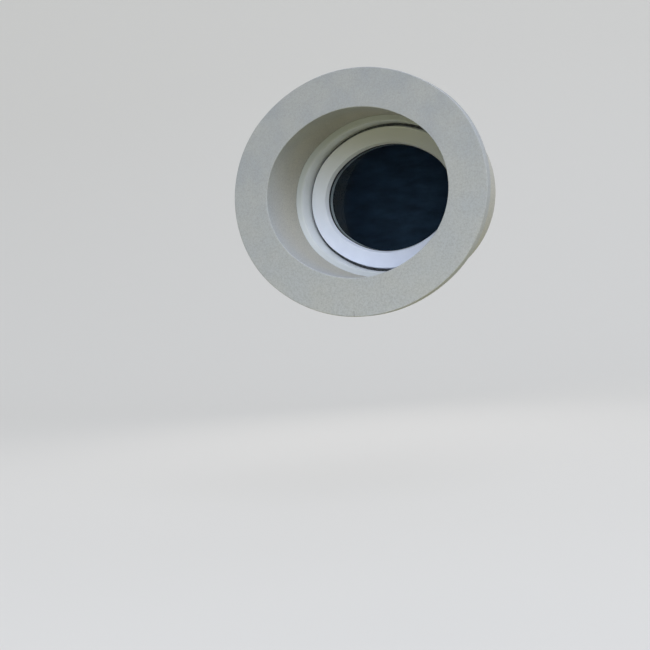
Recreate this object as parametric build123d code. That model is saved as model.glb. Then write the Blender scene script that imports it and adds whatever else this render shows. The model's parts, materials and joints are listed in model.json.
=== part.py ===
from build123d import *
import math
import os

os.makedirs("parts", exist_ok=True)

# An oval porthole window in a one-piece cast stone surround, in millimetres.
# The outside face looks towards -Y, the room is at +Y and up is +Z.
# The origin is the middle of the opening, in the plane of the flange's back, which beds on the wall.
# Every ring follows one oval of four tangent arcs. A section is drawn as points of offset and depth:
# offset is measured outwards from the opening's edge, depth inwards from the surround's front face.

# Opening and stone surround
opening_half_width = 395.0
opening_half_height = 335.0
arc_blend = 7 / 12
flange_width = 155.0
flange_thickness = 40.0
reveal_depth = 256.0
lining_thickness = 25.0
lip_rounding = 3.5
rim_rounding = 3.5

# Window frame
frame_bed_gap = 3.0
frame_cover = 36.0
frame_face_slope = 12.0
frame_face_width = 22.0
frame_arris_rounding = 12.0
frame_lip_width = 23.0
frame_lip_length = 98.0
frame_rebate_width = 3.0
frame_rebate_length = 24.0

# Sash
sash_nose_length = 30.0
sash_overlap_thickness = 24.0
sash_front_gap = 14.0
sash_rear_gap = 12.0
sash_face_width = 66.0
sash_bevel_width = 6.5
sash_bevel_depth = 21.0
sash_lip_edge = 2.0
sash_overlap = 12.0
sash_edge_rounding = 4.0
sash_room_rounding = 5.0
seal_gap = 4.0
seal_clearance = 0.3
seal_margin = 1.0
middle_seal_reach = 10.0

# Glazing
glazing_rebate = 13.0
gasket_front_thickness = 12.0
gasket_rear_thickness = 3.0
gasket_nose = 2.0
gasket_slope = 3.0
glazing_clearance = 0.3
pane_thickness = 4.0
pane_gap = 20.0
pane_edge_gap = 3.0
spacer_height = 5.5
spacer_wall = 0.6
edge_seal_width = 5.5
bead_nose_rounding = 4.0

# Barrel hinges on the left, seen from outside
hinge_axis_offset = 10.0
hinge_standoff = 6.5
hinge_barrel_radius = 6.5
hinge_pin_radius = 3.5
hinge_low_end = 66.0
hinge_barrel_length = 26.0
hinge_joint_gap = 0.5
hinge_stem_radius = 3.5
hinge_stem_length = 40.0
running_clearance = 0.05
fit_clearance = 0.02

# Espagnolette lock in the right edge of the sash
lock_setback = 10.0
faceplate_width = 13.0
faceplate_thickness = 2.0
faceplate_half_angle = 46.0
rod_width = 9.4
rod_thickness = 4.4
rod_half_angle = 41.0
rod_clearance = 0.3
keep_angle = 30.0
cam_radius = 4.2
cam_neck_radius = 3.0
cam_peg_radius = 2.5
cam_reach = 8.0
cam_lift = 0.5
slot_clearance = 0.5
keep_plate_thickness = 1.8
keep_setback = 2.0
keep_bed = 0.2
keep_half_angle = 5.0
hook_half_angle = 2.0
hook_reach = 9.0

# Gearbox of the lock: a pinion on the spindle drives a curved rack under the rod
tooth_module = 2.0
pinion_teeth = 12
pressure_angle = 20.0
pinion_addendum = 2.0
rack_addendum = 1.3
tooth_clearance = 0.3
tooth_backlash = 0.2
rack_web = 1.0
rack_width = 7.0
gearbox_thickness = 11.0
gearbox_cheek = 1.5
gearbox_reach = 21.0
gearbox_half_height = 45.0
hub_radius = 8.0
hub_clearance = 1.0
spindle_side = 7.0
spindle_clearance = 0.02
spindle_end = 15.0

# Handle on the room side
rosette_width = 30.0
rosette_height = 64.0
rosette_thickness = 6.0
handle_screw_spacing = 43.0
handle_screw_radius = 2.5
handle_screw_margin = 1.5
rosette_corner = 10.0
rosette_rounding = 2.0
handle_collar_radius = 9.5
handle_collar_length = 14.0
handle_bed_gap = 0.5
lever_standoff = 36.0
lever_length = 118.0
lever_width = 17.0
lever_thickness = 11.0
lever_bend = 14.0
lever_rounding = 4.0
lever_end_rounding = 2.5

# Fixings
fixing_angles = (0, 60, 90, 120, 180, 240, 270, 300)
frame_screw_radius = 3.75
frame_screw_head_radius = 6.0
frame_screw_head_depth = 3.5
frame_screw_length = 60.0
screw_clearance = 0.1
packer_half_angle = 3.0
packer_length = 70.0
packer_setback = 5.0
packer_clearance = 0.2
block_angles = (0, 70, 110, 180, 250, 290)
block_half_angle = 3.0
bead_pin_angles = (20, 60, 90, 120, 160, 200, 240, 270, 300, 340)
bead_pin_radius = 0.9
bead_pin_length = 32.0

# How far a cut runs past the face that it opens
through = 1.0

# Alignments
LOW_X = (Align.MIN, Align.CENTER, Align.CENTER)
LOW_Z = (Align.CENTER, Align.CENTER, Align.MIN)

# The oval, from its two half sizes
half_difference = opening_half_width - opening_half_height
side_radius = opening_half_height - arc_blend * half_difference
crown_radius = opening_half_width + half_difference / (2 * arc_blend)
side_centre = opening_half_width - side_radius
crown_centre = opening_half_height - crown_radius
junction = math.degrees(math.atan2(-crown_centre, side_centre))

# Depths and offsets that follow from the sizes above
frame_front = reveal_depth + frame_bed_gap
frame_step_depth = frame_front + frame_lip_length
surround_depth = frame_step_depth + frame_rebate_length
rebate_middle = frame_step_depth + frame_rebate_length / 2
rebate_offset = frame_cover + frame_bed_gap
lining_offset = rebate_offset + lining_thickness
sash_step_depth = frame_step_depth + seal_gap
sash_face_depth = sash_step_depth - sash_nose_length
lip_depth = surround_depth + seal_gap
sash_back = lip_depth + sash_overlap_thickness
sash_thickness = sash_back - sash_face_depth
sash_edge = -frame_lip_width - sash_front_gap
sash_rear_edge = -frame_rebate_width - sash_rear_gap
sash_lip = -frame_rebate_width + sash_overlap
bevel_edge = sash_edge - sash_face_width
glass_opening = bevel_edge - sash_bevel_width
glazing_edge = glass_opening + glazing_rebate
bevel_foot = sash_face_depth + sash_bevel_depth
gasket_front = bevel_foot + sash_lip_edge
outer_pane_front = gasket_front + gasket_front_thickness
cavity_front = outer_pane_front + pane_thickness
cavity_back = cavity_front + pane_gap
inner_pane_back = cavity_back + pane_thickness
bead_front = inner_pane_back + gasket_rear_thickness
pane_edge = glazing_edge - pane_edge_gap
spacer_edge = pane_edge - edge_seal_width
gasket_edge = glass_opening - gasket_nose
faceplate_floor = sash_rear_edge - faceplate_thickness
rod_top = faceplate_floor - rod_clearance
rod_floor = rod_top - rod_thickness
groove_floor = rod_floor - rod_clearance
lock_depth = sash_step_depth + lock_setback
gearbox_front = lock_depth - gearbox_thickness / 2
gearbox_back = lock_depth + gearbox_thickness / 2
hinge_axis_x = -opening_half_width - hinge_axis_offset
hinge_axis_depth = surround_depth + hinge_barrel_radius + hinge_standoff

# The lock's teeth: the rack's pitch line lies under the rod, and the spindle one pinion radius further in
tooth_pitch = math.pi * tooth_module
pinion_radius = pinion_teeth * tooth_module / 2
rack_root = rod_floor - rack_web
rack_line = rack_root - tooth_clearance - pinion_addendum
spindle_offset = rack_line - pinion_radius
spindle_x = opening_half_width + spindle_offset
lock_ratio = pinion_radius / (side_radius + rack_line)
handle_turn = 90.0
lock_travel = handle_turn * lock_ratio
teeth_passed = pinion_teeth * handle_turn / 360
rack_tooth_angle = 360 / pinion_teeth * lock_ratio
rosette_back = sash_back + rosette_thickness
handle_screw_length = rosette_back - gearbox_back - handle_screw_margin


def section(*corners):
    """Face of a closed outline; a corner's third number is its rounding."""
    points = [(corner[0], corner[1] - flange_thickness) for corner in corners]
    face = make_face(Polyline(*points, close=True))
    for corner, point in zip(corners, points):
        if len(corner) > 2:
            nearest = min(face.vertices(), key=lambda v: abs(v.X - point[0]) + abs(v.Y - point[1]))
            face = fillet(nearest, corner[2])
    return face


def strip(inner, outer, front, back):
    """Rectangular section between two offsets and two depths."""
    return section((inner, front), (outer, front), (outer, back), (inner, back))


def lock_strip(inner, outer, width):
    """Rectangular section between two offsets, centred on the lock's depth."""
    return strip(inner, outer, lock_depth - width / 2, lock_depth + width / 2)


def arc_at(angle):
    """Centre and radius of the oval's arc whose outward normal has this angle from +X towards +Z."""
    turn = (angle + 180) % 360 - 180
    if abs(turn) <= junction:
        return side_centre, 0.0, side_radius
    if abs(turn) >= 180 - junction:
        return -side_centre, 0.0, side_radius
    return 0.0, crown_centre if turn > 0 else -crown_centre, crown_radius


def sector(face, start, end):
    """A section carried along one arc of the oval, from one angle to another."""
    x, z, radius = arc_at((start + end) / 2)
    placed = Pos(x, 0, z) * Rot(0, -start, 0) * Pos(radius, 0, 0) * face
    return revolve(placed, Axis((x, 0, z), (0, -1, 0)), end - start)


def ring(face):
    """A section carried round the whole oval."""
    right = sector(face, -junction, junction)
    top = sector(face, junction, 180 - junction)
    left = sector(face, 180 - junction, 180 + junction)
    bottom = sector(face, 180 + junction, 360 - junction)
    return right + top + left + bottom


def plate(offset, front, back):
    """A flat oval plate out to an offset, between two depths."""
    side = CenterArc((side_centre, 0), side_radius + offset, -junction, 2 * junction)
    crown = CenterArc((0, crown_centre), crown_radius + offset, junction, 180 - 2 * junction)
    outline = make_face([side, crown, mirror(side, Plane.YZ), mirror(crown, Plane.XZ)])
    upright = Rot(90, 0, 0) * outline
    return extrude(Pos(0, front - flange_thickness, 0) * upright, back - front, dir=(0, 1, 0))


def outward(angle, offset, depth):
    """Place on the oval whose Z axis points outwards along the normal."""
    x, z, radius = arc_at(angle)
    return Pos(x, depth - flange_thickness, z) * Rot(0, -angle, 0) * Pos(radius + offset, 0, 0) * Rot(0, 90, 0)


def along_y(x, front, z):
    """Place whose Z axis points into the room."""
    return Pos(x, front - flange_thickness, z) * Rot(-90, 0, 0)


def rod_of(place, radius, length):
    """A round bar that starts at a place and runs along its Z axis."""
    return place * Cylinder(radius, length, align=LOW_Z)


def group(pieces):
    """Separate solids kept in one node."""
    return Compound(children=[solid for piece in pieces for solid in piece.solids()])


def pads(face, angles, half_angle):
    """Short pieces of one section round the oval."""
    return group(sector(face, angle - half_angle, angle + half_angle) for angle in angles)


# Fixings that several pieces are bored for
def frame_screw(angle, grow=0.0):
    """Countersunk screw from the frame's rebate out into the stone."""
    place = outward(angle, -frame_rebate_width, rebate_middle)
    shank = rod_of(place, frame_screw_radius + grow, frame_screw_length + grow)
    head = place * Cone(
        frame_screw_head_radius + grow,
        frame_screw_radius + grow,
        frame_screw_head_depth,
        align=LOW_Z,
    )
    return shank + head


def bead_pin(angle, grow=0.0):
    """Pin from the bead's face outwards into the sash."""
    middle = (bead_front + sash_back) / 2
    return rod_of(outward(angle, glass_opening, middle), bead_pin_radius + grow, bead_pin_length + grow)


def hinge_spans():
    """Lower end of each frame barrel and of each sash barrel; the sash barrel is the upper one."""
    step = hinge_barrel_length + hinge_joint_gap
    far_end = hinge_low_end + step + hinge_barrel_length
    return [(hinge_low_end, hinge_low_end + step), (-far_end, -far_end + step)]


def frame_stem(low, grow=0.0):
    """Stem of a frame barrel, which runs straight into the frame's room face."""
    middle = low + hinge_barrel_length / 2
    start = hinge_axis_depth - hinge_stem_length - grow
    place = along_y(hinge_axis_x, start, middle)
    return rod_of(place, hinge_stem_radius + grow, hinge_stem_length + grow)


def sash_stem(low, grow=0.0):
    """Stem of a sash barrel, which runs into the edge of the sash's overlap."""
    middle = low + hinge_barrel_length / 2
    place = Pos(hinge_axis_x, hinge_axis_depth - flange_thickness, middle) * Rot(0, 90, 0)
    return rod_of(place, hinge_stem_radius + grow, hinge_stem_length + hinge_barrel_length + grow)


def handle_screw(side, grow=0.0):
    """Screw through the rosette into the sash."""
    place = along_y(spindle_x, rosette_back - handle_screw_length, side * handle_screw_spacing / 2)
    return rod_of(place, handle_screw_radius + grow, handle_screw_length)


# Fixed pieces
def stone_surround():
    body = section(
        (0, 0, lip_rounding),
        (flange_width, 0, rim_rounding),
        (flange_width, flange_thickness),
        (lining_offset, flange_thickness),
        (lining_offset, surround_depth),
        (rebate_offset, surround_depth),
        (rebate_offset, reveal_depth),
        (0, reveal_depth),
    )
    result = ring(body)
    for angle in fixing_angles:
        result -= frame_screw(angle, screw_clearance)
    return result


def perimeter_seal():
    return ring(strip(seal_margin, frame_cover - seal_margin, reveal_depth, frame_front))


def window_frame():
    body = section(
        (frame_cover, frame_front),
        (0, frame_front),
        (-frame_face_width, frame_front + frame_face_slope, frame_arris_rounding),
        (-frame_lip_width, frame_step_depth),
        (-frame_rebate_width, frame_step_depth),
        (-frame_rebate_width, surround_depth),
        (frame_cover, surround_depth),
    )
    result = ring(body)
    for angle in fixing_angles:
        result -= frame_screw(angle, screw_clearance)
    for frame_low, _ in hinge_spans():
        result -= frame_stem(frame_low, screw_clearance)
    return result


def frame_packers():
    shim = strip(
        frame_cover + packer_clearance,
        rebate_offset - packer_clearance,
        frame_front + packer_setback,
        frame_front + packer_setback + packer_length,
    )
    return pads(shim, fixing_angles, packer_half_angle)


def middle_seal():
    return ring(
        strip(
            -frame_lip_width - middle_seal_reach,
            sash_rear_edge - seal_margin,
            frame_step_depth,
            sash_step_depth - seal_clearance,
        )
    )


def lock_keeps():
    top = -frame_rebate_width
    keeps = []
    for angle in (keep_angle, -keep_angle):
        back = surround_depth - keep_bed
        base = strip(top - keep_plate_thickness, top - keep_bed, frame_step_depth + keep_setback, back)
        hook_front = lock_depth + cam_radius + rod_clearance
        hook = strip(top - hook_reach, top - keep_bed, hook_front, back)
        plate_part = sector(base, angle - keep_half_angle, angle + keep_half_angle)
        hook_part = sector(hook, angle - hook_half_angle, angle + hook_half_angle)
        keeps.append(plate_part + hook_part)
    return group(keeps)


def hinge_barrel(low, bore):
    axis = Pos(hinge_axis_x, hinge_axis_depth - flange_thickness, low)
    return rod_of(axis, hinge_barrel_radius, hinge_barrel_length) - rod_of(axis, bore, hinge_barrel_length)


def frame_hinges():
    knuckles = []
    for low, _ in hinge_spans():
        bore = hinge_pin_radius + fit_clearance
        axis = Pos(hinge_axis_x, hinge_axis_depth - flange_thickness, low)
        clear = rod_of(axis, bore, hinge_barrel_length)
        knuckles.append(hinge_barrel(low, bore) + (frame_stem(low) - clear))
    return group(knuckles)


def hinge_pins():
    length = 2 * hinge_barrel_length + hinge_joint_gap
    place = Pos(hinge_axis_x, hinge_axis_depth - flange_thickness, 0)
    return group(rod_of(place * Pos(0, 0, low), hinge_pin_radius, length) for low, _ in hinge_spans())


# Sash and glazing
def sash_frame():
    body = section(
        (sash_edge, sash_face_depth, sash_edge_rounding),
        (bevel_edge, sash_face_depth),
        (glass_opening, bevel_foot),
        (glass_opening, gasket_front),
        (glazing_edge, gasket_front),
        (glazing_edge, sash_back),
        (sash_lip, sash_back, sash_room_rounding),
        (sash_lip, lip_depth),
        (sash_rear_edge, lip_depth),
        (sash_rear_edge, sash_step_depth),
        (sash_edge, sash_step_depth),
    )
    result = ring(body)
    result -= lock_groove()
    result -= gearbox_block(rod_clearance)
    result -= rod_of(along_y(spindle_x, lock_depth, 0), hub_radius + hub_clearance, sash_thickness)
    for side in (-1, 1):
        result -= handle_screw(side, screw_clearance)
    for _, sash_low in hinge_spans():
        result -= sash_stem(sash_low, screw_clearance)
    for angle in bead_pin_angles:
        result -= bead_pin(angle, screw_clearance)
    return result


def lock_groove():
    """Stepped channel in the sash's edge for the faceplate and the rod under it."""
    recess = lock_strip(faceplate_floor, sash_rear_edge + through, faceplate_width + 2 * screw_clearance)
    channel = lock_strip(groove_floor, faceplate_floor + through, rod_width + 2 * rod_clearance)
    turn = faceplate_half_angle + screw_clearance
    return sector(recess, -turn, turn) + sector(channel, -turn, turn)


def sash_seal():
    inner = seal_margin - frame_rebate_width
    outer = sash_lip - seal_margin
    return ring(strip(inner, outer, surround_depth + seal_clearance, lip_depth))


def glazing_gasket_outer():
    body = section(
        (gasket_edge, gasket_front + gasket_slope),
        (glass_opening, gasket_front),
        (glazing_edge - glazing_clearance, gasket_front),
        (glazing_edge - glazing_clearance, outer_pane_front),
        (gasket_edge, outer_pane_front),
    )
    return ring(body)


def spacer_bar():
    inner = spacer_edge - spacer_height
    outside = strip(inner, spacer_edge, cavity_front, cavity_back)
    inside = strip(
        inner + spacer_wall,
        spacer_edge - spacer_wall,
        cavity_front + spacer_wall,
        cavity_back - spacer_wall,
    )
    return ring(outside - inside)


def edge_seal():
    return ring(strip(spacer_edge, pane_edge, cavity_front, cavity_back))


def glazing_gasket_inner():
    return ring(strip(gasket_edge, glazing_edge - glazing_clearance, inner_pane_back, bead_front))


def glazing_bead():
    body = section(
        (glass_opening, bead_front),
        (glazing_edge - glazing_clearance, bead_front),
        (glazing_edge - glazing_clearance, sash_back),
        (glass_opening, sash_back, bead_nose_rounding),
    )
    result = ring(body)
    for angle in bead_pin_angles:
        result -= bead_pin(angle, screw_clearance)
    return result


def setting_blocks():
    inner = pane_edge + glazing_clearance
    outer = glazing_edge - glazing_clearance
    block = strip(inner, outer, outer_pane_front, inner_pane_back)
    return pads(block, block_angles, block_half_angle)


def sash_hinges():
    knuckles = []
    for _, low in hinge_spans():
        bore = hinge_pin_radius + running_clearance
        axis = Pos(hinge_axis_x, hinge_axis_depth - flange_thickness, low)
        clear = rod_of(axis, bore, hinge_barrel_length)
        knuckles.append(hinge_barrel(low, bore) + (sash_stem(low) - clear))
    return group(knuckles)


# Lock and handle
def faceplate():
    body = lock_strip(faceplate_floor, sash_rear_edge, faceplate_width)
    result = sector(body, -faceplate_half_angle, faceplate_half_angle)
    slot_width = 2 * (cam_neck_radius + slot_clearance)
    slot = lock_strip(faceplate_floor - through, sash_rear_edge + through, slot_width)
    slot_end = math.degrees(slot_width / side_radius)
    for angle in (keep_angle, -keep_angle):
        result -= sector(slot, angle - lock_travel - slot_end, angle + slot_end)
    return result


def gearbox_block(grow=0.0):
    """Block of the gearbox, rounded on its outer side to follow the rod."""
    inner_x = spindle_x - gearbox_reach - grow
    middle = Pos(0, lock_depth - flange_thickness, 0)
    thickness = gearbox_thickness + 2 * grow
    sides = Box(opening_half_width - inner_x, thickness, 2 * (gearbox_half_height + grow), align=LOW_X)
    outer_radius = side_radius + groove_floor - rod_clearance + 3 * grow
    return (middle * Pos(inner_x, 0, 0) * sides) & (
        middle * Pos(side_centre, 0, 0) * Rot(90, 0, 0) * Cylinder(outer_radius, thickness)
    )


def gearbox_case():
    """Case with a round chamber for the pinion and a curved channel, open to the rod, for the rack."""
    front = gearbox_front + gearbox_cheek
    back = gearbox_back - gearbox_cheek
    chamber_radius = pinion_radius + pinion_addendum + tooth_clearance
    chamber = rod_of(along_y(spindle_x, front, 0), chamber_radius, back - front)
    channel = strip(rack_line - rack_addendum - tooth_clearance, groove_floor, front, back)
    half_angle = (teeth_passed + 2) * rack_tooth_angle
    bore = rod_of(along_y(spindle_x, gearbox_front, 0), hub_radius + running_clearance, gearbox_thickness)
    return gearbox_block() - chamber - sector(channel, -half_angle, half_angle) - bore


def rack_tooth(number):
    """Straight-sided tooth of the rack; tooth 0 meets the pinion while the handle is at rest."""
    half_width = (tooth_pitch / 2 - tooth_backlash) / 2
    slope = math.tan(math.radians(pressure_angle))
    foot = rack_root - rack_line + rack_web / 2
    tip_half = half_width - rack_addendum * slope
    foot_half = half_width + foot * slope
    outline = Polyline(
        (-tip_half, -rack_addendum),
        (tip_half, -rack_addendum),
        (foot_half, foot),
        (-foot_half, foot),
        close=True,
    )
    tooth = extrude(Rot(90, 0, 0) * make_face(outline), rack_width / 2, both=True)
    return outward(number * rack_tooth_angle, rack_line, lock_depth) * tooth


def rack():
    """Web and teeth under the rod, one tooth longer at each end than the pinion's run."""
    first = -round(teeth_passed) - 1
    last = 1
    web = lock_strip(rack_root, rod_floor + rod_clearance, rack_width)
    result = sector(web, (first - 0.5) * rack_tooth_angle, (last + 0.5) * rack_tooth_angle)
    for number in range(first, last + 1):
        result += rack_tooth(number)
    return result


def lock_rod():
    body = lock_strip(rod_floor, rod_top, rod_width)
    result = sector(body, -rod_half_angle, rod_half_angle - lock_travel)
    for angle in (keep_angle, -keep_angle):
        result -= cam_peg(angle, fit_clearance)
    return result + rack()


def cam_peg(angle, grow=0.0):
    """Peg that holds a cam in the rod."""
    place = outward(angle - lock_travel, rod_floor, lock_depth)
    return rod_of(place, cam_peg_radius + grow, sash_rear_edge - rod_floor + cam_lift)


def lock_cams():
    cams = []
    for angle in (keep_angle, -keep_angle):
        turned = angle - lock_travel
        neck_start = rod_top + running_clearance
        neck_length = sash_rear_edge + cam_lift - neck_start
        neck = rod_of(outward(turned, neck_start, lock_depth), cam_neck_radius, neck_length)
        head = rod_of(outward(turned, sash_rear_edge + cam_lift, lock_depth), cam_radius, cam_reach)
        cams.append(cam_peg(angle) + neck + head)
    return group(cams)


def pinion_tooth():
    """Outline of one involute tooth that points along +X."""
    base = pinion_radius * math.cos(math.radians(pressure_angle))
    tip = pinion_radius + pinion_addendum
    foot = pinion_radius - rack_addendum - 2 * tooth_clearance
    involute = math.tan(math.radians(pressure_angle)) - math.radians(pressure_angle)
    half_angle = (tooth_pitch / 2 - tooth_backlash) / 2 / pinion_radius + involute
    steps = 4
    flank = []
    for step in range(steps + 1):
        roll = math.sqrt((tip / base) ** 2 - 1) * step / steps
        radius = base * math.hypot(1, roll)
        angle = half_angle - roll + math.atan(roll)
        flank.append((radius * math.cos(angle), radius * math.sin(angle)))
    start = (foot * math.cos(half_angle), foot * math.sin(half_angle))
    upper = [Line(start, flank[0]), Spline(*flank)]
    lower = [mirror(edge, Plane.XZ) for edge in upper]
    crown = ThreePointArc(flank[-1], (tip, 0), (flank[-1][0], -flank[-1][1]))
    return make_face([*upper, crown, *lower, Line(start, (start[0], -start[1]))])


def spindle_hub():
    """Pinion with a hub at each side that turns in the case's cheeks."""
    drum = rod_of(along_y(spindle_x, gearbox_front, 0), hub_radius, gearbox_thickness)
    outline = Circle(pinion_radius - rack_addendum - tooth_clearance)
    for number in range(pinion_teeth):
        outline += Rot(0, 0, (number + 0.5) * 360 / pinion_teeth) * pinion_tooth()
    gear = extrude(Rot(90, 0, 0) * outline, rack_width / 2, both=True)
    return drum + Pos(spindle_x, lock_depth - flange_thickness, 0) * gear - spindle_bar(spindle_clearance)


def spindle_bar(grow=0.0):
    """Square bar from the hub to the inside of the handle."""
    side = spindle_side + 2 * grow
    length = sash_back + spindle_end - gearbox_front + grow
    return along_y(spindle_x, gearbox_front, 0) * Box(side, side, length, align=LOW_Z)


def handle_rosette():
    outline = RectangleRounded(rosette_width, rosette_height, rosette_corner)
    body = along_y(spindle_x, sash_back, 0) * extrude(outline, rosette_thickness)
    body = fillet(body.edges().group_by(Axis.Y)[-1], rosette_rounding)
    collar_hole = handle_collar_radius + running_clearance
    body -= rod_of(along_y(spindle_x, sash_back, 0), collar_hole, rosette_thickness)
    for side in (-1, 1):
        body -= handle_screw(side, screw_clearance)
    return body


def handle_lever():
    """Round collar that turns in the rosette, and a flat lever that leaves it in one bend."""
    start = Pos(spindle_x, sash_back + handle_bed_gap - flange_thickness, 0)
    reach = lever_standoff - handle_bed_gap
    path = FilletPolyline((0, 0, 0), (0, reach, 0), (-lever_length, reach, 0), radius=lever_bend)
    outline = Rot(-90, 0, 0) * RectangleRounded(lever_thickness, lever_width, lever_rounding)
    grip = sweep(outline, path=path)
    grip = fillet(grip.edges().group_by(Axis.X)[0], lever_end_rounding)
    collar = Rot(-90, 0, 0) * Cylinder(handle_collar_radius, handle_collar_length, align=LOW_Z)
    collar = fillet(collar.edges().group_by(Axis.Y)[-1], rosette_rounding)
    return start * (collar + grip) - spindle_bar(spindle_clearance)


def handle_screws():
    return group(handle_screw(side) for side in (-1, 1))


nodes = {
    "stone_surround": stone_surround(),
    "perimeter_seal": perimeter_seal(),
    "window_frame": window_frame(),
    "frame_packers": frame_packers(),
    "frame_screws": group(frame_screw(angle) for angle in fixing_angles),
    "middle_seal": middle_seal(),
    "lock_keeps": lock_keeps(),
    "frame_hinges": frame_hinges(),
    "hinge_pins": hinge_pins(),
    "sash_frame": sash_frame(),
    "sash_seal": sash_seal(),
    "glazing_gasket_outer": glazing_gasket_outer(),
    "outer_pane": plate(pane_edge, outer_pane_front, cavity_front),
    "spacer_bar": spacer_bar(),
    "edge_seal": edge_seal(),
    "inner_pane": plate(pane_edge, cavity_back, inner_pane_back),
    "glazing_gasket_inner": glazing_gasket_inner(),
    "glazing_bead": glazing_bead(),
    "bead_pins": group(bead_pin(angle) for angle in bead_pin_angles),
    "setting_blocks": setting_blocks(),
    "sash_hinges": sash_hinges(),
    "faceplate": faceplate(),
    "gearbox_case": gearbox_case(),
    "lock_rod": lock_rod(),
    "lock_cams": lock_cams(),
    "handle_rosette": handle_rosette(),
    "handle_screws": handle_screws(),
    "handle_lever": handle_lever(),
    "handle_spindle": spindle_bar(),
    "spindle_hub": spindle_hub(),
}

for name, shape in nodes.items():
    export_step(shape, f"parts/{name}.step")
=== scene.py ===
import json
import math

import bmesh
import bpy
from mathutils import Matrix, Vector


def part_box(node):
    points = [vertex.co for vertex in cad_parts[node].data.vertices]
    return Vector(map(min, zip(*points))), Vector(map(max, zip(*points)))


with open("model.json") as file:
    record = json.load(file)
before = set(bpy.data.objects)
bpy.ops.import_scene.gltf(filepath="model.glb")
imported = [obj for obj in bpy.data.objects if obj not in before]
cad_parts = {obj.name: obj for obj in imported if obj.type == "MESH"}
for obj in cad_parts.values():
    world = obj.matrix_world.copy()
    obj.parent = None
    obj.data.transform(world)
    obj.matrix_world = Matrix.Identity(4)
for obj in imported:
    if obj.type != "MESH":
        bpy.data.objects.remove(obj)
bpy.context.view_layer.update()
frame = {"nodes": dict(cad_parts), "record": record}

# Places on the window, in metres, as the solids have them
mm = 0.001
face_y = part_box("stone_surround")[0].y
frame_front_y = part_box("window_frame")[0].y
sash_front_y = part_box("sash_frame")[0].y

# Camera: where the photograph was taken from, about the middle of the opening on the front face.
view_centre = Vector((0.0, face_y, 0.0))
view_azimuth = math.radians(24.76)
view_elevation = math.radians(-5.65)
view_distance = 4.387
view_aim = Vector((-0.1714, face_y, -0.5130))
view_roll = math.radians(-4.36)
view_lens = 61.07

# Marks of age on the stone: brown damp in the reveal, and a hairline crack low on the flange.
# A reach is how far above and below the middle a colour goes on changing; the stone's reach is that of
# its painted shade, darker towards the top.
stone_shade_reach = 0.45
stain_start = 0.02
stain_full = 0.16
crack_x = -0.0385
crack_top = -0.465
crack_half_width = 1.4 * mm

# Painted light and shade on the paint: the frame's front darker, most towards the top, than its lighter
# paint deeper in, and painted shade near the top of the sash's front
frame_shade_reach = 0.3
frame_shade_depth = 8 * mm
sash_shade_reach = 0.25
sash_shade_depth = 30 * mm
paint_fade = 10 * mm

# Stage, seen by the camera more evenly than it is lit
floor_level = -1.35
floor_front_y = -30.0
floor_side_x = 30.0
backdrop_y = 9.0
backdrop_bend = 4.0
backdrop_height = 12.0
bend_steps = 24
even_share = 0.6


def linear(code):
    """An sRGB hex colour as linear red, green, blue and alpha."""
    parts = [int(code[i:i + 2], 16) / 255 for i in (0, 2, 4)]
    return tuple(p / 12.92 if p <= 0.04045 else ((p + 0.055) / 1.055) ** 2.4 for p in parts) + (1.0,)


def add(tree, kind, inputs=None, **settings):
    """Adds a node, sets its properties, and sets or links its inputs by name or number."""
    node = tree.nodes.new("ShaderNode" + kind)
    for name, value in settings.items():
        setattr(node, name, value)
    for name, value in (inputs or {}).items():
        if isinstance(value, bpy.types.NodeSocket):
            tree.links.new(value, node.inputs[name])
        else:
            node.inputs[name].default_value = value
    return node


def blank_material(name):
    material = bpy.data.materials.new(name)
    material.use_nodes = True
    material.node_tree.nodes.clear()
    return material, material.node_tree


def finish_material(tree, shader):
    add(tree, "OutputMaterial", {"Surface": shader})


def grain(tree, position, size, detail=2.0, roughness=0.5):
    """Noise whose grains are about this many millimetres across."""
    return add(tree, "TexNoise", {
        "Vector": position, "Scale": 1.0 / (size * mm), "Detail": detail, "Roughness": roughness,
    }).outputs["Fac"]


def ramp(tree, value, low, high, out_low=0.0, out_high=1.0):
    """Value between low and high, stretched and held to the out range."""
    return add(tree, "MapRange", {
        "Value": value, "From Min": low, "From Max": high, "To Min": out_low, "To Max": out_high,
    }).outputs["Result"]


def mix(tree, share, first, second):
    """Colour mixed from the first to the second by share."""
    node = add(tree, "Mix", {0: share}, data_type="RGBA")
    for socket, value in ((node.inputs[6], first), (node.inputs[7], second)):
        if isinstance(value, bpy.types.NodeSocket):
            tree.links.new(value, socket)
        else:
            socket.default_value = value
    return node.outputs[2]


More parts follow.
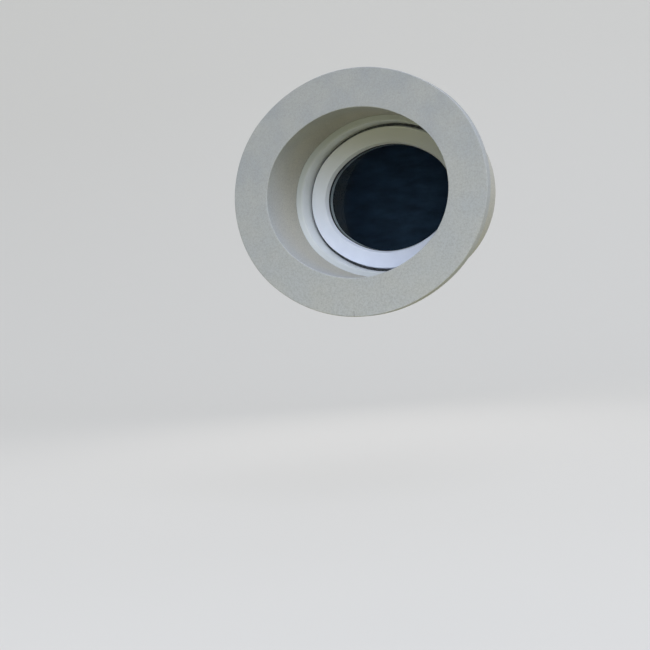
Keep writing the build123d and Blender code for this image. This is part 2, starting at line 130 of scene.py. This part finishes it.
def cast_stone():
    """Cast stone, struck off smooth: pale, sandy, painted shade makes it duller towards the top, and
    browner in the reveal.
    """
    material, tree = blank_material("cast_stone")
    place = add(tree, "TexCoord").outputs["Object"]
    across, into, up = add(tree, "SeparateXYZ", {0: place}).outputs
    cloud = grain(tree, place, 130, 3.0)
    sand = grain(tree, place, 7, 3.0, 0.7)
    dust = grain(tree, place, 2.2, 2.0, 0.7)
    # Painted shade: the stone darkens and cools towards the top, standing in for less light than reaches
    # the ground-lit bottom.
    painted_shade = mix(tree, ramp(tree, up, -stone_shade_reach, stone_shade_reach), linear("AEB0B1"), linear("94979B"))
    clouded = mix(tree, ramp(tree, cloud, 0.35, 0.65, 0.0, 0.35), painted_shade, linear("B4B1A8"))
    inside = ramp(tree, into, face_y + stain_start, face_y + stain_full, 0.0, 0.55)
    stained = mix(tree, inside, clouded, linear("B8B19C"))
    speckled = mix(tree, ramp(tree, sand, 0.32, 0.60, 0.50, 0.0), stained, linear("8B8A86"))
    lighter = mix(tree, ramp(tree, dust, 0.52, 0.78, 0.0, 0.45), speckled, linear("CCCBC5"))
    beside = add(tree, "Math", {0: across, 1: crack_x}, operation="SUBTRACT").outputs[0]
    away = add(tree, "Math", {0: beside}, operation="ABSOLUTE").outputs[0]
    along = ramp(tree, up, crack_top - 1 * mm, crack_top + 1 * mm, 1.0, 0.0)
    line = ramp(tree, away, 0.3 * mm, crack_half_width, 0.75, 0.0)
    crack = add(tree, "Math", {0: line, 1: along}, operation="MULTIPLY").outputs[0]
    marked = mix(tree, crack, lighter, linear("4A4844"))
    height = add(tree, "Math", {0: sand, 1: dust}, operation="ADD").outputs[0]
    bump = add(tree, "Bump", {"Height": height, "Strength": 0.5, "Distance": 0.0009}).outputs["Normal"]
    shader = add(tree, "BsdfPrincipled", {"Base Color": marked, "Roughness": 0.9, "Normal": bump})
    finish_material(tree, shader.outputs[0])
    return material


def white_paint(name, code, shade, top_shade=None, painted_shade=None):
    """Satin white paint, with painted shade near the top of a front, or a front painted darker than the
    lighter paint deeper in.

    The colour for the top is the painted shade's colour. The pair for the front holds its painted
    colours, low and high.
    """
    material, tree = blank_material(name)
    place = add(tree, "TexCoord").outputs["Object"]
    _, into, up = add(tree, "SeparateXYZ", {0: place}).outputs
    film = grain(tree, place, 60, 2.0)
    peel = grain(tree, place, 2.2, 1.0)
    colour = mix(tree, ramp(tree, film, 0.35, 0.65), linear(code), linear(shade))
    # Painted shade: the front of the sash turns greyer towards the top, and its room side stays as it
    # is.
    if top_shade:
        sash_shade_end = sash_front_y + sash_shade_depth
        outside = ramp(tree, into, sash_shade_end, sash_shade_end + paint_fade, 1.0, 0.0)
        height = ramp(tree, up, -sash_shade_reach, sash_shade_reach)
        top_shade_share = add(tree, "Math", {0: outside, 1: height}, operation="MULTIPLY").outputs[0]
        colour = mix(tree, top_shade_share, colour, linear(top_shade))
    # Painted light and shade: the frame's front darker, most towards the top, and its paint lighter
    # deeper in, where the gap lies in shade.
    if painted_shade:
        frame_shade_end = frame_front_y + frame_shade_depth
        painted_lighter_deeper = ramp(tree, into, frame_shade_end, frame_shade_end + paint_fade)
        low, high = painted_shade
        shaded_front = mix(tree, ramp(tree, up, -frame_shade_reach, frame_shade_reach), linear(low), linear(high))
        colour = mix(tree, painted_lighter_deeper, shaded_front, colour)
    bump = add(tree, "Bump", {"Height": peel, "Strength": 0.12, "Distance": 0.0003}).outputs["Normal"]
    rough = ramp(tree, film, 0.3, 0.7, 0.32, 0.40)
    shader = add(tree, "BsdfPrincipled", {"Base Color": colour, "Roughness": rough, "Normal": bump})
    finish_material(tree, shader.outputs[0])
    return material


def rubber(name, code):
    """Extruded rubber or a bead of sealant, with a dark bloom and a soft dull sheen."""
    material, tree = blank_material(name)
    place = add(tree, "TexCoord").outputs["Object"]
    bloom = grain(tree, place, 8, 2.0)
    colour = mix(tree, ramp(tree, bloom, 0.3, 0.8), linear(code), linear("1E1F20"))
    shader = add(tree, "BsdfPrincipled", {"Base Color": colour, "Roughness": 0.6})
    finish_material(tree, shader.outputs[0])
    return material


def metal(name, code, rough):
    """Bright metal with fine drawing marks."""
    material, tree = blank_material(name)
    place = add(tree, "TexCoord").outputs["Object"]
    marks = grain(tree, place, 3, 3.0)
    colour = mix(tree, ramp(tree, marks, 0.3, 0.7), linear(code), linear("C4C6C8"))
    roughness = ramp(tree, marks, 0.3, 0.7, rough - 0.06, rough + 0.06)
    shader = add(tree, "BsdfPrincipled", {"Base Color": colour, "Roughness": roughness, "Metallic": 1.0})
    finish_material(tree, shader.outputs[0])
    return material


def clear_glass():
    """Clear glass with the calm reflections of a coated pane; lamps shine through it."""
    material, tree = blank_material("clear_float_glass")
    place = add(tree, "TexCoord").outputs["Object"]
    wave = grain(tree, place, 220, 1.0)
    tint = mix(tree, ramp(tree, wave, 0.3, 0.7), linear("F4FAF7"), linear("EEF6F2"))
    glass = add(tree, "BsdfPrincipled", {
        "Base Color": tint, "Roughness": 0.0, "IOR": 1.25, "Transmission Weight": 1.0,
    })
    through = add(tree, "BsdfTransparent", {"Color": (0.93, 0.96, 0.95, 1.0)})
    shadow = add(tree, "LightPath").outputs["Is Shadow Ray"]
    shader = add(tree, "MixShader", {0: shadow, 1: glass.outputs[0], 2: through.outputs[0]})
    finish_material(tree, shader.outputs[0])
    return material


def dark_glass():
    """The inner pane, polished and near-black: painted shade for the unlit room behind it, dimmer
    towards the hinges and painted lighter away from them.
    """
    material, tree = blank_material("painted_dark_room_glass")
    place = add(tree, "TexCoord").outputs["Object"]
    across = add(tree, "SeparateXYZ", {0: place}).outputs["X"]
    stretched = add(tree, "Mapping", {0: place, "Scale": (1.0, 1.0, 2.6)}).outputs[0]
    depth = grain(tree, stretched, 120, 4.0, 0.6)
    # Painted shade for the room behind the pane, clouded, and painted lighter across towards one side as
    # light and reflection.
    painted_dark_side = mix(tree, ramp(tree, depth, 0.30, 0.75), linear("080C11"), linear("111A24"))
    painted_light_side = mix(tree, ramp(tree, depth, 0.30, 0.75), linear("1B232C"), linear("2B3947"))
    colour = mix(tree, ramp(tree, across, -0.25, 0.20), painted_dark_side, painted_light_side)
    shader = add(tree, "BsdfPrincipled", {
        "Base Color": colour, "Roughness": 0.02, "IOR": 1.5, "Specular IOR Level": 0.12,
    })
    finish_material(tree, shader.outputs[0])
    return material


def plastic(name, code):
    """Moulded plastic with faint flow marks."""
    material, tree = blank_material(name)
    place = add(tree, "TexCoord").outputs["Object"]
    flow = grain(tree, place, 12, 2.0)
    colour = mix(tree, ramp(tree, flow, 0.3, 0.7), linear(code), linear("4A5058"))
    shader = add(tree, "BsdfPrincipled", {"Base Color": colour, "Roughness": 0.5})
    finish_material(tree, shader.outputs[0])
    return material


def dress():
    """Gives every node of the frame its finish."""
    stone = cast_stone()
    # The frame's front is painted darker, most towards the top, than its paint deeper in: painted light
    # and shade.
    frame_paint = white_paint("frame_paint", "D9DCDC", "D4D7D7", painted_shade=("BABEBE", "A6AAA3"))
    # The sash's bluish white is painted skylight, and its greyer top front is painted shade.
    sash_paint = white_paint("sash_paint", "DFE5F2", "D9DFED", top_shade="CFD0CD")
    coat = white_paint("white_powder_coat", "E2E4E6", "DCDEE0")
    black = rubber("black_rubber", "0B0B0C")
    grey = rubber("grey_rubber", "6C6E70")
    sealant = rubber("stone_coloured_sealant", "8E8E88")
    zinc = metal("zinc_plate", "A8AAAC", 0.34)
    finishes = {
        "cast_stone": stone,
        "sealant": sealant,
        "frame_paint": frame_paint,
        "sash_paint": sash_paint,
        "black_seal": black,
        "edge_sealant": black,
        "clear_glass": clear_glass(),
        "dark_glass": dark_glass(),
        "spacer": white_paint("spacer_grey", "A9AEB2", "9FA4A8"),
        "zinc": zinc,
        "pin_steel": zinc,
        "hinge_steel": coat,
        "handle_coat": coat,
        "packing": plastic("packer_plastic", "3E444C"),
    }
    for part in frame["record"]["subparts"]:
        item = frame["nodes"][part["node"]]
        item.data.materials.clear()
        item.data.materials.append(finishes[part["material_slot"]])
    frame["nodes"]["middle_seal"].data.materials[0] = grey


def stage():
    """A plain pale floor that curves up into a backdrop."""
    shape = bmesh.new()
    bend_start = backdrop_y - backdrop_bend
    profile = [(floor_front_y, 0.0), (bend_start, 0.0)]
    for step in range(1, bend_steps + 1):
        turn = step / bend_steps * math.pi / 2
        y = bend_start + backdrop_bend * math.sin(turn)
        profile.append((y, backdrop_bend * (1.0 - math.cos(turn))))
    profile.append((backdrop_y, backdrop_height))
    ends = []
    for x in (-floor_side_x, floor_side_x):
        ends.append([shape.verts.new((x, y, floor_level + z)) for y, z in profile])
    for a, b, c, d in zip(ends[0], ends[0][1:], ends[1][1:], ends[1]):
        shape.faces.new((a, d, c, b))
    mesh = bpy.data.meshes.new("studio_floor")
    bmesh.ops.recalc_face_normals(shape, faces=shape.faces)
    shape.to_mesh(mesh)
    shape.free()
    for face in mesh.polygons:
        face.use_smooth = True
    floor = bpy.data.objects.new("studio_floor", mesh)
    bpy.context.scene.collection.objects.link(floor)
    material, tree = blank_material("pale_floor")
    place = add(tree, "TexCoord").outputs["Object"]
    into = add(tree, "SeparateXYZ", {0: place}).outputs["Y"]
    in_front = ramp(tree, into, 0.0, 1.5, 1.0, 0.0)
    path = add(tree, "LightPath")
    bounced, seen = path.outputs["Is Diffuse Ray"], path.outputs["Is Camera Ray"]
    grassy = add(tree, "Math", {0: bounced, 1: in_front}, operation="MULTIPLY").outputs[0]
    colour = mix(tree, grassy, linear("CFCDCA"), linear("B6B084"))
    plain = add(tree, "BsdfDiffuse", {"Color": colour})
    even = add(tree, "Emission", {"Color": linear("DCDCDA"), "Strength": 1.0})
    share = add(tree, "Math", {0: seen, 1: even_share}, operation="MULTIPLY").outputs[0]
    shader = add(tree, "MixShader", {0: share, 1: plain.outputs[0], 2: even.outputs[0]})
    finish_material(tree, shader.outputs[0])
    mesh.materials.append(material)


def area_light(name, place, aim, size, power, colour):
    """A rectangular lamp in watts that faces a point."""
    lamp = bpy.data.lights.new(name, "AREA")
    lamp.shape = "RECTANGLE"
    lamp.size, lamp.size_y = size
    lamp.energy = power
    lamp.color = linear(colour)[:3]
    item = bpy.data.objects.new(name, lamp)
    item.location = place
    item.rotation_euler = (Vector(aim) - Vector(place)).to_track_quat("-Z", "Y").to_euler()
    bpy.context.scene.collection.objects.link(item)


def light():
    """Soft daylight, brightest from the upper right, with dim warm ground below.

    Rays that glass or a polished face sends on meet a duller sky, and the camera a plain grey.
    """
    world = bpy.data.worlds.new("soft_daylight")
    world.use_nodes = True
    tree = world.node_tree
    tree.nodes.clear()
    ray = add(tree, "TexCoord").outputs["Generated"]
    across, _, up = add(tree, "SeparateXYZ", {0: ray}).outputs
    upper_sky = mix(tree, ramp(tree, up, 0.35, 0.85), linear("DAE4F6"), linear("ECF3FF"))
    sky = mix(tree, ramp(tree, up, -0.22, 0.28), linear("7A7650"), upper_sky)
    strength = ramp(tree, across, -0.8, 0.8, 0.32, 1.4)
    daylight = add(tree, "Background", {"Color": sky, "Strength": strength})
    dusk = mix(tree, ramp(tree, up, 0.1, 0.9), linear("2A3C58"), linear("9AA4B4"))
    mirrored = add(tree, "Background", {"Color": dusk, "Strength": 1.0})
    plain = add(tree, "Background", {"Color": linear("CFD0D1"), "Strength": 1.0})
    path = add(tree, "LightPath")
    seen = path.outputs["Is Camera Ray"]
    glossy, sent_on = path.outputs["Is Glossy Ray"], path.outputs["Is Transmission Ray"]
    mirror_ray = add(tree, "Math", {0: glossy, 1: sent_on}, operation="MAXIMUM").outputs[0]
    lit = add(tree, "MixShader", {0: mirror_ray, 1: daylight.outputs[0], 2: mirrored.outputs[0]})
    shown = add(tree, "MixShader", {0: seen, 1: lit.outputs[0], 2: plain.outputs[0]})
    add(tree, "OutputWorld", {"Surface": shown.outputs[0]})
    bpy.context.scene.world = world
    area_light("sky_panel", (4.8, -6.2, 4.7), (0, 0, 0), (8.5, 6.6), 765, "EBF1FF")
    area_light("room_panel", (-1.8, 3.8, 1.8), (0, 0.2, 0), (2.2, 1.6), 60, "FFF8F0")


def camera():
    """Stands where the photographer stood, a little below the window and to its right."""
    reach = math.cos(view_elevation)
    side, back = math.sin(view_azimuth) * reach, -math.cos(view_azimuth) * reach
    place = view_centre + Vector((side, back, math.sin(view_elevation))) * view_distance
    ahead = (view_aim - place).normalized()
    level = ahead.cross(Vector((0, 0, 1))).normalized()
    right = Matrix.Rotation(-view_roll, 3, ahead) @ level
    above = right.cross(ahead)
    facing = Matrix((right, above, -ahead)).transposed().to_4x4()
    data = bpy.data.cameras.new("camera")
    data.lens = view_lens
    data.sensor_fit = "HORIZONTAL"
    data.clip_end = 50
    item = bpy.data.objects.new("camera", data)
    item.matrix_world = Matrix.Translation(place) @ facing
    bpy.context.scene.collection.objects.link(item)
    bpy.context.scene.camera = item


dress()
stage()
light()
camera()
bpy.context.scene.view_settings.view_transform = "Standard"
